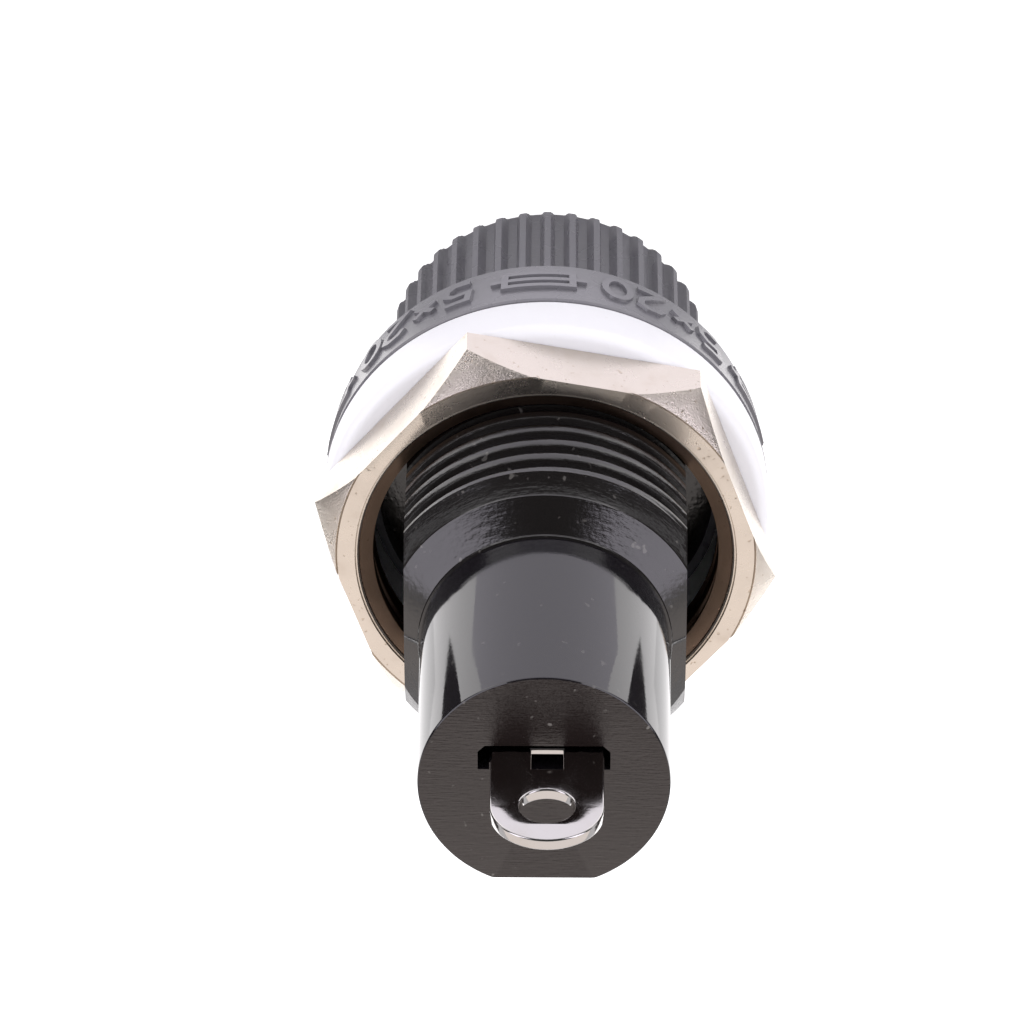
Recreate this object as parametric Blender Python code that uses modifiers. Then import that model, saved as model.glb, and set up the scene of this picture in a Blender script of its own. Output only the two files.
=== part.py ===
"""Panel mount fuse holder for 5 x 20 mm cartridge fuses.

Stands on the flat front of its screw cap, with +Z along the axis from the cap to the solder
terminals. The origin is on the axis at the cap's front face. The hex nut and its washer clamp a
panel against the flange. The flats of the barrel face +X and -X, and the side terminal is at +Y.
"""

import math

import bmesh
import bpy
from mathutils import Vector

MM = 0.001

# Driving sizes, in millimetres
FUSE_RADIUS = 2.6
FUSE_LENGTH = 20.0
FUSE_FIT = 0.05
FUSE_PRESS = 0.85

SEAT_GAP = 0.05
SLIDE_GAP = 0.15

KNOB_RADIUS = 6.33
KNOB_LENGTH = 7.7
KNOB_FLOOR = 1.6
KNOB_EDGE = 0.7
KNOB_REAR_EDGE = 0.23
KNOB_LAND = 1.03
KNOB_DISH_DEPTH = 0.3
KNOB_GAP = 0.3
RIB_COUNT = 40
RIB_DEPTH = 0.42
RIB_CREST_SHARE = 0.22
HOLLOW_SHARES = (0.25, 0.5, 0.75)
HOLLOW_POWER = 4

FLANGE_THICKNESS = 3.45
FLANGE_OVERHANG = 2.1
FLANGE_DRAFT = 0.4
FLANGE_EDGE = 0.15

BARREL_RADIUS = 6.5
FLATS_ACROSS = 10.6
FLAT_ROOT = 0.1
SHOULDER_WIDTH = 0.55
SHOULDER_LENGTH = 0.7
CONE_LENGTH = 1.0
NECK_LEDGE = 0.08
NECK_LENGTH = 9.3
NECK_BASE_RADIUS = 4.67
NECK_END_RADIUS = 4.6
NECK_EDGE = 0.08
NECK_FLAT_GAP = 0.26
END_WALL = 2.0
CHAMBER_GAP = 0.45

SLEEVE_WALL = 0.35
SLEEVE_RIM_WIDTH = 0.45
SLEEVE_RIM_THICKNESS = 0.4
SLEEVE_RECESS = 1.1
SLEEVE_GAP = 0.2
THREAD_GAP = 0.3

FERRULE_WALL = 0.3
FERRULE_REACH = 5.4
FERRULE_RUNOUT = 1.8

CLIP_WALL = 0.3
CLIP_DEPTH = 3.0
CLIP_RIM_WIDTH = 0.35
CLIP_RIM_THICKNESS = 0.3
CLIP_SLOT_WIDTH = 0.6
CLIP_SLOT_COUNT = 4
CLIP_BASE_HEIGHT = 0.75

SPRING_WIRE_RADIUS = 0.2
SPRING_TURNS = 6
SPRING_END_RISE = 0.44

WASHER_THICKNESS = 2.15
WASHER_EDGE = 0.45
WASHER_GAP = 0.3

NUT_INSET = 0.8
NUT_THICKNESS = 2.53
NUT_FACE_MARGIN = 0.25
NUT_CORNER_HEIGHT = 1.26
NUT_GAP = 0.2
NUT_MOUTH = 0.52
NUT_MOUTH_DEPTH = 0.4
NUT_TURN = 49.5

BLADE_THICKNESS = 0.45
BLADE_WIDTH = 4.1
BLADE_HOLE_RADIUS = 1.16
BLADE_GAP = 0.1

TAB_LENGTH = 5.8
TAB_FACE = 1.38
TAB_SHIFT = -0.12
TAB_FOOT_END = 1.9
TAB_BEND = 0.25
TAB_WINDOW_WIDTH = 1.15
TAB_WINDOW_HEIGHT = 1.4
SLOT_LEG_WIDTH = 0.45
SLOT_LEG_DROP = 0.45

SIDE_SETBACK = 1.7
SIDE_CHANNEL_GAP = 0.15

ROUND_STEPS = 72
SMALL_STEPS = 48
HOLE_STEPS = 32
TURN_STEPS = 18
EDGE_STEPS = 5

# Radii worked out from the barrel outwards
FLANGE_REAR_RADIUS = BARREL_RADIUS + FLANGE_OVERHANG
FLANGE_FRONT_RADIUS = FLANGE_REAR_RADIUS - FLANGE_DRAFT
WASHER_RADIUS = FLANGE_REAR_RADIUS
NUT_ACROSS = 2 * (FLANGE_REAR_RADIUS - NUT_INSET)
NUT_FACE_RADIUS = NUT_ACROSS / 2 + NUT_FACE_MARGIN

# Radii worked out from the fuse outwards
CLIP_INNER = FUSE_RADIUS + FUSE_FIT
CLIP_OUTER = CLIP_INNER + CLIP_WALL
CLIP_RIM = CLIP_OUTER + CLIP_RIM_WIDTH
FERRULE_INNER = CLIP_RIM + SLIDE_GAP
FERRULE_OUTER = FERRULE_INNER + FERRULE_WALL
SLEEVE_INNER = FERRULE_OUTER + THREAD_GAP
SLEEVE_OUTER = SLEEVE_INNER + SLEEVE_WALL
SLEEVE_RIM = SLEEVE_OUTER + SLEEVE_RIM_WIDTH
SLEEVE_BORE = SLEEVE_OUTER + SLEEVE_GAP
CHAMBER_RADIUS = FUSE_RADIUS + CHAMBER_GAP
SIDE_FACE = SLEEVE_OUTER + BLADE_GAP
SIDE_BACK = SIDE_FACE + BLADE_THICKNESS
NECK_FLAT = SIDE_FACE - NECK_FLAT_GAP
KNOB_DISH_RADIUS = KNOB_RADIUS - KNOB_EDGE - KNOB_LAND

# Heights worked out along the axis, from the cap's front face at zero
FLANGE_Z = KNOB_LENGTH + KNOB_GAP
PANEL_Z = FLANGE_Z + FLANGE_THICKNESS
WASHER_Z = PANEL_Z + SEAT_GAP
NUT_Z = WASHER_Z + WASHER_THICKNESS + SEAT_GAP
FERRULE_Z = KNOB_FLOOR + SEAT_GAP
FERRULE_END = KNOB_LENGTH + FERRULE_REACH
CLIP_RIM_Z = FERRULE_END - FERRULE_WALL - SEAT_GAP
CLIP_FLOOR_Z = CLIP_RIM_Z - CLIP_DEPTH
SPRING_Z = FERRULE_Z + FERRULE_WALL + SEAT_GAP
SLEEVE_SEAT_Z = FLANGE_Z + SLEEVE_RECESS
BORE_STEP_Z = FERRULE_END + FERRULE_RUNOUT
FOOT_Z = CLIP_FLOOR_Z - FUSE_PRESS + FUSE_LENGTH
CHAMBER_END_Z = FOOT_Z + BLADE_THICKNESS + SLIDE_GAP
END_Z = CHAMBER_END_Z + END_WALL
NECK_Z = END_Z - NECK_LENGTH
CONE_Z = NECK_Z - CONE_LENGTH
SHOULDER_Z = CONE_Z - SHOULDER_LENGTH

MARGIN = 1.0


def clear_scene():
    for obj in list(bpy.data.objects):
        bpy.data.objects.remove(obj, do_unlink=True)


def make_collection(name):
    collection = bpy.data.collections.new(name)
    bpy.context.scene.collection.children.link(collection)
    return collection


def make_material(name, color, roughness, metallic):
    material = bpy.data.materials.new(name)
    material.use_nodes = True
    shader = material.node_tree.nodes["Principled BSDF"]
    shader.inputs["Base Color"].default_value = (*color, 1.0)
    shader.inputs["Roughness"].default_value = roughness
    shader.inputs["Metallic"].default_value = metallic
    material.diffuse_color = (*color, 1.0)
    return material


def place(obj, collection, z=0.0):
    """Put an object's origin on the axis, at a height in millimetres."""
    obj.location = (0.0, 0.0, z * MM)
    collection.objects.link(obj)
    return obj


def turned(name, profile, collection, z=0.0, steps=ROUND_STEPS, closed=False):
    """Revolve an outline of (radius, height) points, given down its outer side."""
    mesh = bpy.data.meshes.new(name)
    bm = bmesh.new()
    verts = [bm.verts.new((radius * MM, 0.0, height * MM)) for radius, height in profile]
    for first, second in zip(verts, verts[1:]):
        bm.edges.new((first, second))
    if closed:
        bm.edges.new((verts[-1], verts[0]))
    bm.to_mesh(mesh)
    bm.free()
    obj = place(bpy.data.objects.new(name, mesh), collection, z)
    screw = obj.modifiers.new("Turn", "SCREW")
    screw.axis = "Z"
    screw.steps = steps
    screw.render_steps = steps
    screw.use_merge_vertices = True
    screw.merge_threshold = 0.000001
    return obj


def outline(name, loops, thickness, collection, z=0.0):
    """Extrude closed 2D loops of (x, y) points; the second and later loops are holes."""
    curve = bpy.data.curves.new(name, "CURVE")
    curve.dimensions = "2D"
    curve.fill_mode = "BOTH"
    curve.extrude = thickness / 2 * MM
    for loop in loops:
        spline = curve.splines.new("POLY")
        spline.points.add(len(loop) - 1)
        for point, (x, y) in zip(spline.points, loop):
            point.co = (x * MM, y * MM, 0.0, 1.0)
        spline.use_cyclic_u = True
    obj = place(bpy.data.objects.new(name, curve), collection, z)
    return obj


def as_mesh(obj, weld=0.000001):
    """Swap an object for its evaluated mesh, welded closed, so that it can be cut or joined."""
    bpy.context.view_layer.update()
    graph = bpy.context.evaluated_depsgraph_get()
    mesh = bpy.data.meshes.new_from_object(obj.evaluated_get(graph))
    bm = bmesh.new()
    bm.from_mesh(mesh)
    bmesh.ops.remove_doubles(bm, verts=bm.verts, dist=weld)
    bmesh.ops.recalc_face_normals(bm, faces=bm.faces)
    bm.to_mesh(mesh)
    bm.free()
    solid = bpy.data.objects.new(obj.name, mesh)
    solid.matrix_world = obj.matrix_world
    for collection in obj.users_collection:
        collection.objects.link(solid)
    name = obj.name
    bpy.data.objects.remove(obj, do_unlink=True)
    solid.name = name
    return solid


def block(name, low, high, collection):
    """A box between two corners in millimetres."""
    mesh = bpy.data.meshes.new(name)
    bm = bmesh.new()
    bmesh.ops.create_cube(bm, size=1.0)
    size = [top - bottom for bottom, top in zip(low, high)]
    bmesh.ops.scale(bm, vec=Vector(size) * MM, verts=bm.verts)
    bm.to_mesh(mesh)
    bm.free()
    obj = bpy.data.objects.new(name, mesh)
    obj.location = [(bottom + top) / 2 * MM for bottom, top in zip(low, high)]
    collection.objects.link(obj)
    return obj


def combine(target, tool, operation):
    """Cut, join or cross a solid with another, which stays hidden as a guide."""
    tool.hide_render = True
    tool.display_type = "WIRE"
    step = target.modifiers.new(tool.name, "BOOLEAN")
    step.operation = operation
    step.solver = "EXACT"
    step.object = tool


def finish(obj, material, sharp_angle=32.0):
    """Apply the modifiers, give the material and shade smooth up to an angle."""
    bpy.context.view_layer.update()
    graph = bpy.context.evaluated_depsgraph_get()
    mesh = bpy.data.meshes.new_from_object(obj.evaluated_get(graph))
    obj.modifiers.clear()
    obj.data = mesh
    mesh.name = obj.name
    mesh.materials.clear()
    mesh.materials.append(material)
    mesh.shade_smooth()
    mesh.set_sharp_from_angle(angle=math.radians(sharp_angle))
    return obj


def arc(center, radius, start, stop, steps):
    """Points on an arc, angles in degrees, both ends included."""
    points = []
    for step in range(steps + 1):
        angle = math.radians(start + (stop - start) * step / steps)
        points.append((center[0] + radius * math.cos(angle), center[1] + radius * math.sin(angle)))
    return points


def make_housing(parts, cutters, material):
    """Moulded body: flange, double-D barrel, chamfer, cone, flatted neck, bores and slots."""
    seat = PANEL_Z - FLANGE_Z
    top = END_Z - FLANGE_Z
    profile = [
        (0.0, top),
        (NECK_END_RADIUS - NECK_EDGE, top),
        (NECK_END_RADIUS, top - NECK_EDGE),
        (NECK_BASE_RADIUS, NECK_Z - FLANGE_Z),
        (NECK_BASE_RADIUS + NECK_LEDGE, NECK_Z - FLANGE_Z),
        (BARREL_RADIUS - SHOULDER_WIDTH, CONE_Z - FLANGE_Z),
        (BARREL_RADIUS, SHOULDER_Z - FLANGE_Z),
        (BARREL_RADIUS, seat),
        (FLANGE_REAR_RADIUS - FLANGE_EDGE, seat),
        (FLANGE_REAR_RADIUS, seat - FLANGE_EDGE),
        (FLANGE_FRONT_RADIUS, FLANGE_EDGE),
        (FLANGE_FRONT_RADIUS - FLANGE_EDGE, 0.0),
        (SLEEVE_RIM + SLEEVE_GAP, 0.0),
        (SLEEVE_RIM + SLEEVE_GAP, SLEEVE_RECESS),
        (SLEEVE_BORE, SLEEVE_RECESS),
        (SLEEVE_BORE, BORE_STEP_Z - FLANGE_Z),
        (CHAMBER_RADIUS, BORE_STEP_Z - FLANGE_Z),
        (CHAMBER_RADIUS, CHAMBER_END_Z - FLANGE_Z),
        (0.0, CHAMBER_END_Z - FLANGE_Z),
    ]
    housing = turned("housing", profile, parts, FLANGE_Z)

    reach = FLANGE_REAR_RADIUS + MARGIN
    for side, name in ((1, "barrel_flat_right"), (-1, "barrel_flat_left")):
        inner = side * FLATS_ACROSS / 2
        outer = side * reach
        low = (min(inner, outer), -reach, PANEL_Z + FLAT_ROOT)
        high = (max(inner, outer), reach, END_Z + MARGIN)
        combine(housing, block(name, low, high, cutters), "DIFFERENCE")

    neck_low = (-reach, NECK_FLAT, NECK_Z + FLAT_ROOT)
    neck_high = (reach, reach, END_Z + MARGIN)
    combine(housing, block("neck_flat", neck_low, neck_high, cutters), "DIFFERENCE")

    half = BLADE_WIDTH / 2 + SIDE_CHANNEL_GAP
    channel_low = (-half, SIDE_FACE - SIDE_CHANNEL_GAP, FLANGE_Z - MARGIN)
    channel_high = (half, SIDE_BACK + SIDE_CHANNEL_GAP, NECK_Z + MARGIN)
    combine(housing, block("side_channel", channel_low, channel_high, cutters), "DIFFERENCE")

    slot_half = BLADE_WIDTH / 2 + abs(TAB_SHIFT) + BLADE_GAP
    slot_front = -TAB_FACE - BLADE_GAP
    slot_back = -TAB_FACE + BLADE_THICKNESS + BLADE_GAP
    leg_back = slot_back + SLOT_LEG_DROP
    leg_in = slot_half - SLOT_LEG_WIDTH / 2
    leg_out = slot_half + SLOT_LEG_WIDTH / 2
    slot = [
        (-leg_out, slot_front), (leg_out, slot_front), (leg_out, leg_back), (leg_in, leg_back),
        (leg_in, slot_back), (-leg_in, slot_back), (-leg_in, leg_back), (-leg_out, leg_back),
    ]
    length = END_WALL + 2 * MARGIN
    cutter = outline("end_slot", [slot], length, cutters, CHAMBER_END_Z + END_WALL / 2)
    combine(housing, as_mesh(cutter), "DIFFERENCE")
    return finish(housing, material)


def make_sleeve(parts, material):
    """Front contact: a drawn sleeve, threaded inside for the cap, with a rim at its mouth."""
    rim_z = SLEEVE_SEAT_Z - SEAT_GAP - SLEEVE_RIM_THICKNESS
    length = BORE_STEP_Z - SLEEVE_GAP - rim_z
    profile = [
        (SLEEVE_INNER, length),
        (SLEEVE_OUTER, length),
        (SLEEVE_OUTER, SLEEVE_RIM_THICKNESS),
        (SLEEVE_RIM, SLEEVE_RIM_THICKNESS),
        (SLEEVE_RIM, 0.0),
        (SLEEVE_INNER, 0.0),
    ]
    sleeve = turned("contact_sleeve", profile, parts, rim_z, SMALL_STEPS, closed=True)
    return finish(sleeve, material)


def blade_outline(tip, root, half):
    """Flat blade seen from its face: square at the root, a round eye at the tip."""
    eye = tip - half
    return [(half, root)] + arc((0.0, eye), half, 0.0, 180.0, HOLE_STEPS // 2) + [(-half, root)]


def stand_up(obj, shift, y, z):
    """Turn a flat XY outline so that its Y runs up the axis and its thickness along Y."""
    obj.rotation_euler = (math.radians(90.0), 0.0, 0.0)
    obj.location = (shift * MM, y * MM, z * MM)
    return as_mesh(obj)


def make_end_terminal(parts, cutters, material):
    """Bent blade: a foot that the fuse touches, and a tab with an eye behind the end wall."""
    half = BLADE_WIDTH / 2
    tip = END_Z + TAB_LENGTH - FOOT_Z
    back = TAB_FACE - BLADE_THICKNESS
    inner = TAB_BEND
    outer = TAB_BEND + BLADE_THICKNESS
    bend = (-back + inner, outer)
    side = [(-TAB_FACE, tip)]
    side += arc(bend, outer, 180.0, 270.0, EDGE_STEPS)
    side += [(TAB_FOOT_END, 0.0), (TAB_FOOT_END, BLADE_THICKNESS)]
    side += arc(bend, inner, 270.0, 180.0, EDGE_STEPS)
    side += [(-back, tip)]
    strip = outline("end_terminal", [side], BLADE_WIDTH, parts)
    strip.rotation_euler = (math.radians(90.0), 0.0, math.radians(90.0))
    strip.location = (TAB_SHIFT * MM, 0.0, FOOT_Z * MM)
    terminal = as_mesh(strip)

    eye = tip - half
    hole = arc((0.0, eye), BLADE_HOLE_RADIUS, 0.0, 360.0, HOLE_STEPS)[:-1]
    face = outline("tab_outline", [blade_outline(tip, -MARGIN, half), hole], 4 * half, cutters)
    combine(terminal, stand_up(face, TAB_SHIFT, 0.0, FOOT_Z), "INTERSECT")

    window_half = TAB_WINDOW_WIDTH / 2
    window_low = (TAB_SHIFT - window_half, -TAB_FACE - MARGIN, END_Z)
    window_high = (TAB_SHIFT + window_half, -back + MARGIN / 2, END_Z + TAB_WINDOW_HEIGHT)
    combine(terminal, block("tab_window", window_low, window_high, cutters), "DIFFERENCE")
    return finish(terminal, material)


def make_side_terminal(parts, material):
    """Straight blade beside the contact sleeve, out through the cone and along the neck."""
    half = BLADE_WIDTH / 2
    root_z = SLEEVE_SEAT_Z + SEAT_GAP
    tip = END_Z - SIDE_SETBACK - root_z
    hole = arc((0.0, tip - half), BLADE_HOLE_RADIUS, 0.0, 360.0, HOLE_STEPS)[:-1]
    loops = [blade_outline(tip, 0.0, half), hole]
    blade = outline("side_terminal", loops, BLADE_THICKNESS, parts)
    return finish(stand_up(blade, 0.0, SIDE_FACE + BLADE_THICKNESS / 2, root_z), material)


def rib_outline():
    """Grip outline: narrow rounded ribs with a hollow scallop between each two."""
    points = []
    pitch = 360.0 / RIB_COUNT
    crest = pitch * RIB_CREST_SHARE / 2
    for rib in range(RIB_COUNT):
        middle = rib * pitch + pitch / 2
        for share in (-1.0, 1.0):
            angle = math.radians(middle + share * crest)
            points.append((KNOB_RADIUS * math.cos(angle), KNOB_RADIUS * math.sin(angle)))
        for share in HOLLOW_SHARES:
            hollow = RIB_DEPTH * (1.0 - (2.0 * share - 1.0) ** HOLLOW_POWER)
            angle = math.radians(middle + crest + (pitch - 2 * crest) * share)
            radius = KNOB_RADIUS - hollow
            points.append((radius * math.cos(angle), radius * math.sin(angle)))
    return points


def make_knob(parts, cutters, material):
    """Grip of the screw cap: ribbed, rounded at its front and hollow for the ferrule."""
    ribs = outline("cap_knob", [rib_outline()], KNOB_LENGTH, parts, KNOB_LENGTH / 2)
    knob = as_mesh(ribs)
    edge = KNOB_RADIUS - KNOB_EDGE
    shell = [(0.0, KNOB_LENGTH), (KNOB_RADIUS - KNOB_REAR_EDGE, KNOB_LENGTH)]
    shell += [(KNOB_RADIUS, KNOB_LENGTH - KNOB_REAR_EDGE)]
    shell += arc((edge, KNOB_EDGE), KNOB_EDGE, 0.0, -90.0, EDGE_STEPS)
    shell += [(KNOB_DISH_RADIUS, 0.0), (KNOB_DISH_RADIUS - KNOB_DISH_DEPTH, KNOB_DISH_DEPTH)]
    shell += [(0.0, KNOB_DISH_DEPTH)]
    combine(knob, turned("knob_form", shell, cutters), "INTERSECT")
    cavity_radius = FERRULE_OUTER + SLIDE_GAP
    cavity = [(0.0, KNOB_LENGTH + MARGIN), (cavity_radius, KNOB_LENGTH + MARGIN)]
    cavity += [(cavity_radius, KNOB_FLOOR), (0.0, KNOB_FLOOR)]
    combine(knob, turned("knob_cavity", cavity, cutters, steps=SMALL_STEPS), "DIFFERENCE")
    return finish(knob, material, sharp_angle=40.0)


def make_ferrule(parts, material):
    """Drawn metal cup in the knob, threaded outside, its mouth rolled in to hold the clip."""
    length = FERRULE_END - FERRULE_Z
    lip = CLIP_OUTER + SLIDE_GAP
    profile = [
        (0.0, FERRULE_WALL),
        (FERRULE_INNER, FERRULE_WALL),
        (FERRULE_INNER, length - FERRULE_WALL),
        (lip, length - FERRULE_WALL),
        (lip, length),
        (FERRULE_OUTER, length),
        (FERRULE_OUTER, 0.0),
        (0.0, 0.0),
    ]
    ferrule = turned("cap_ferrule", profile, parts, FERRULE_Z, SMALL_STEPS)
    return finish(ferrule, material)


def make_clip(parts, cutters, material):
    """Sprung contact cup that grips the end of the fuse, split into fingers."""
    base = -CLIP_WALL
    rim_low = CLIP_DEPTH - CLIP_RIM_THICKNESS
    profile = [
        (0.0, 0.0),
        (CLIP_INNER, 0.0),
        (CLIP_INNER, CLIP_DEPTH),
        (CLIP_RIM, CLIP_DEPTH),
        (CLIP_RIM, rim_low),
        (CLIP_OUTER, rim_low),
        (CLIP_OUTER, base),
        (0.0, base),
    ]
    clip = turned("fuse_clip", profile, parts, CLIP_FLOOR_Z, SMALL_STEPS)
    reach = CLIP_RIM + MARGIN
    low_z = CLIP_FLOOR_Z + CLIP_BASE_HEIGHT
    for number in range(CLIP_SLOT_COUNT):
        low = (0.0, -CLIP_SLOT_WIDTH / 2, low_z)
        high = (reach, CLIP_SLOT_WIDTH / 2, CLIP_RIM_Z + MARGIN)
        slot = block("clip_slot_%d" % (number + 1), low, high, cutters)
        angle = 2 * math.pi * (number + 0.5) / CLIP_SLOT_COUNT
        slot.rotation_euler = (0.0, 0.0, angle)
        slot.location = (
            reach / 2 * math.cos(angle) * MM,
            reach / 2 * math.sin(angle) * MM,
            (low_z + CLIP_RIM_Z + MARGIN) / 2 * MM,
        )
        combine(clip, slot, "DIFFERENCE")
    return finish(clip, material)


def make_spring(parts, material):
    """Compression spring between the ferrule's floor and the clip, with flat end coils."""
    coil_radius = CLIP_OUTER - SPRING_WIRE_RADIUS - SEAT_GAP
    low = SPRING_WIRE_RADIUS
    high = CLIP_FLOOR_Z - CLIP_WALL - SEAT_GAP - SPRING_WIRE_RADIUS - SPRING_Z
    count = SPRING_TURNS * TURN_STEPS
    curve = bpy.data.curves.new("cap_spring", "CURVE")
    curve.dimensions = "3D"
    curve.bevel_depth = SPRING_WIRE_RADIUS * MM
    curve.bevel_resolution = 1
    curve.use_fill_caps = True
    spline = curve.splines.new("POLY")
    spline.points.add(count)
    for index, point in enumerate(spline.points):
        turn = index / TURN_STEPS
        middle = (turn - 1.0) / (SPRING_TURNS - 2.0)
        if turn < 1.0:
            height = low + SPRING_END_RISE * turn
        elif turn > SPRING_TURNS - 1.0:
            height = high - SPRING_END_RISE * (SPRING_TURNS - turn)
        else:
            height = low + SPRING_END_RISE + (high - low - 2 * SPRING_END_RISE) * middle
        angle = 2 * math.pi * turn
        x = coil_radius * math.cos(angle)
        y = coil_radius * math.sin(angle)
        point.co = (x * MM, y * MM, height * MM, 1.0)
    spring = place(bpy.data.objects.new("cap_spring", curve), parts, SPRING_Z)
    return finish(as_mesh(spring), material, sharp_angle=60.0)


def make_washer(parts, material):
    """Moulded ring between the flange and the panel, with rounded outer edges."""
    bore = BARREL_RADIUS + WASHER_GAP
    edge = WASHER_RADIUS - WASHER_EDGE
    profile = [(bore, WASHER_THICKNESS)]
    profile += arc((edge, WASHER_THICKNESS - WASHER_EDGE), WASHER_EDGE, 90.0, 0.0, EDGE_STEPS)
    profile += arc((edge, WASHER_EDGE), WASHER_EDGE, 0.0, -90.0, EDGE_STEPS)
    profile += [(bore, 0.0)]
    washer = turned("panel_washer", profile, parts, WASHER_Z, closed=True)
    return finish(washer, material)


def make_nut(parts, cutters, material):
    """Thin hex nut, its rear face chamfered across the corners and round the bore."""
    mesh = bpy.data.meshes.new("hex_nut")
    bm = bmesh.new()
    corner = NUT_ACROSS / 2 / math.cos(math.radians(30.0))
    size = corner * MM
    depth = NUT_THICKNESS * MM
    bmesh.ops.create_cone(bm, cap_ends=True, segments=6, radius1=size, radius2=size, depth=depth)
    bmesh.ops.translate(bm, verts=bm.verts, vec=(0.0, 0.0, depth / 2))
    bm.to_mesh(mesh)
    bm.free()
    nut = place(bpy.data.objects.new("hex_nut", mesh), parts, NUT_Z)
    nut.rotation_euler = (0.0, 0.0, math.radians(NUT_TURN))

    slope = (corner - NUT_FACE_RADIUS) / (NUT_THICKNESS - NUT_CORNER_HEIGHT)
    wide = corner + slope * MARGIN
    form = [
        (0.0, NUT_THICKNESS),
        (NUT_FACE_RADIUS, NUT_THICKNESS),
        (wide, NUT_CORNER_HEIGHT - MARGIN),
        (wide, -MARGIN),
        (0.0, -MARGIN),
    ]
    combine(nut, turned("nut_form", form, cutters, NUT_Z), "INTERSECT")
    bore = BARREL_RADIUS + NUT_GAP
    hole = [
        (0.0, NUT_THICKNESS + MARGIN),
        (bore + NUT_MOUTH, NUT_THICKNESS + MARGIN),
        (bore + NUT_MOUTH, NUT_THICKNESS),
        (bore, NUT_THICKNESS - NUT_MOUTH_DEPTH),
        (bore, -MARGIN),
        (0.0, -MARGIN),
    ]
    combine(nut, turned("nut_bore", hole, cutters, NUT_Z), "DIFFERENCE")
    return finish(nut, material)


def main():
    clear_scene()
    parts = make_collection("panel_fuse_holder")
    cutters = make_collection("cutters")

    black = make_material("black_plastic", (0.022, 0.021, 0.023), 0.35, 0.0)
    knob_black = make_material("cap_plastic", (0.035, 0.035, 0.037), 0.45, 0.0)
    nylon = make_material("white_nylon", (0.82, 0.81, 0.84), 0.45, 0.0)
    nickel = make_material("nickel_plate", (0.72, 0.67, 0.60), 0.3, 1.0)
    tin = make_material("tin_plate", (0.80, 0.79, 0.78), 0.18, 1.0)
    brass = make_material("brass", (0.78, 0.62, 0.36), 0.28, 1.0)
    steel = make_material("spring_steel", (0.62, 0.62, 0.63), 0.3, 1.0)

    make_housing(parts, cutters, black)
    make_sleeve(parts, brass)
    make_end_terminal(parts, cutters, tin)
    make_side_terminal(parts, tin)
    make_washer(parts, nylon)
    make_nut(parts, cutters, nickel)
    make_knob(parts, cutters, knob_black)
    make_ferrule(parts, brass)
    make_clip(parts, cutters, tin)
    make_spring(parts, steel)


main()
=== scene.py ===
"""Finished looks of a panel mount fuse holder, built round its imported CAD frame.

Each piece of the holder has an operator, listed in the sidebar of the 3D view. All sizes are in
metres in the frame of the CAD, which stands on the screw cap with +Z towards the solder terminals.
"""

import math

import bmesh
import bpy
from bpy.props import FloatProperty, FloatVectorProperty, IntProperty, PointerProperty
from mathutils import Matrix, Vector


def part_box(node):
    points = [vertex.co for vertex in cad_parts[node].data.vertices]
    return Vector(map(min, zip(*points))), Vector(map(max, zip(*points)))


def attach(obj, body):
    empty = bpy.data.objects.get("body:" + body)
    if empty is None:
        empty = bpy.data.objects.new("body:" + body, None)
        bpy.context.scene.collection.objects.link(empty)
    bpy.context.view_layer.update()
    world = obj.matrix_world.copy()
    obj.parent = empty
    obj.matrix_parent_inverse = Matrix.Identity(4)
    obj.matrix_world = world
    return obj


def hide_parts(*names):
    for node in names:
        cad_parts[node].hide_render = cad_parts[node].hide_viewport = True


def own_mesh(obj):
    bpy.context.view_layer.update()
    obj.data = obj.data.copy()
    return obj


bl_info = {
    "name": "Panel mount fuse holder",
    "version": (1, 0, 0),
    "blender": (4, 5, 0),
    "location": "3D View > Sidebar > Fuse holder",
    "description": "Builds the finished looks of a panel mount fuse holder round its CAD frame",
    "category": "Object",
}

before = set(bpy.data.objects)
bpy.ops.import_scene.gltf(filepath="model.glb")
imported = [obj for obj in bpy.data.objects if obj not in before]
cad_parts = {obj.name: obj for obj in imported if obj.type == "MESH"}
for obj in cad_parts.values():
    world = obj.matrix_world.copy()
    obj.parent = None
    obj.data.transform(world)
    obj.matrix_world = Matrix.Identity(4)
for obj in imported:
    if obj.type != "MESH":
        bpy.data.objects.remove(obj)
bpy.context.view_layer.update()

MM = 0.001
WELD = 1e-7
ROUND_STEPS = 180
THREAD_STEPS = 120
FLANGE_GAP = 0.05 * MM  # between the flange and the washer
RIM_TAPER = 0.4 * MM  # the flange's rim is this much smaller at its front

# One pitch of a thread, as shares of the pitch and of the depth.
THREAD_FORM = (
    (0.0, 0.0), (0.06, 0.02), (0.12, 0.08), (0.18, 0.28), (0.31, 0.97), (0.35, 1.0), (0.51, 1.0),
    (0.55, 0.97), (0.67, 0.24), (0.72, 0.15), (0.79, 0.09), (0.87, 0.04), (0.95, 0.01),
)

HOUSING_LOW, HOUSING_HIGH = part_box("housing")
WASHER_LOW, WASHER_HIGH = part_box("panel_washer")
NUT_LOW, NUT_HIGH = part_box("hex_nut")
KNOB_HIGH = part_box("cap_knob")[1]
FERRULE_LOW, FERRULE_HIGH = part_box("cap_ferrule")
SLEEVE_LOW, SLEEVE_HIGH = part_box("contact_sleeve")
TAB_LOW, TAB_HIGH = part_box("end_terminal")
SIDE_LOW, SIDE_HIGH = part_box("side_terminal")


def size(name, millimetres, description):
    """A length property whose default is given in millimetres."""
    return FloatProperty(name=name, description=description, default=millimetres * MM,
                         unit="LENGTH", precision=5)


def tilt(name, degrees, description):
    return FloatProperty(name=name, description=description, default=math.radians(degrees),
                         subtype="ANGLE")


def colour(name, value, description):
    return FloatVectorProperty(name=name, description=description, default=value,
                               subtype="COLOR", min=0.0, max=1.0)


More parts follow.
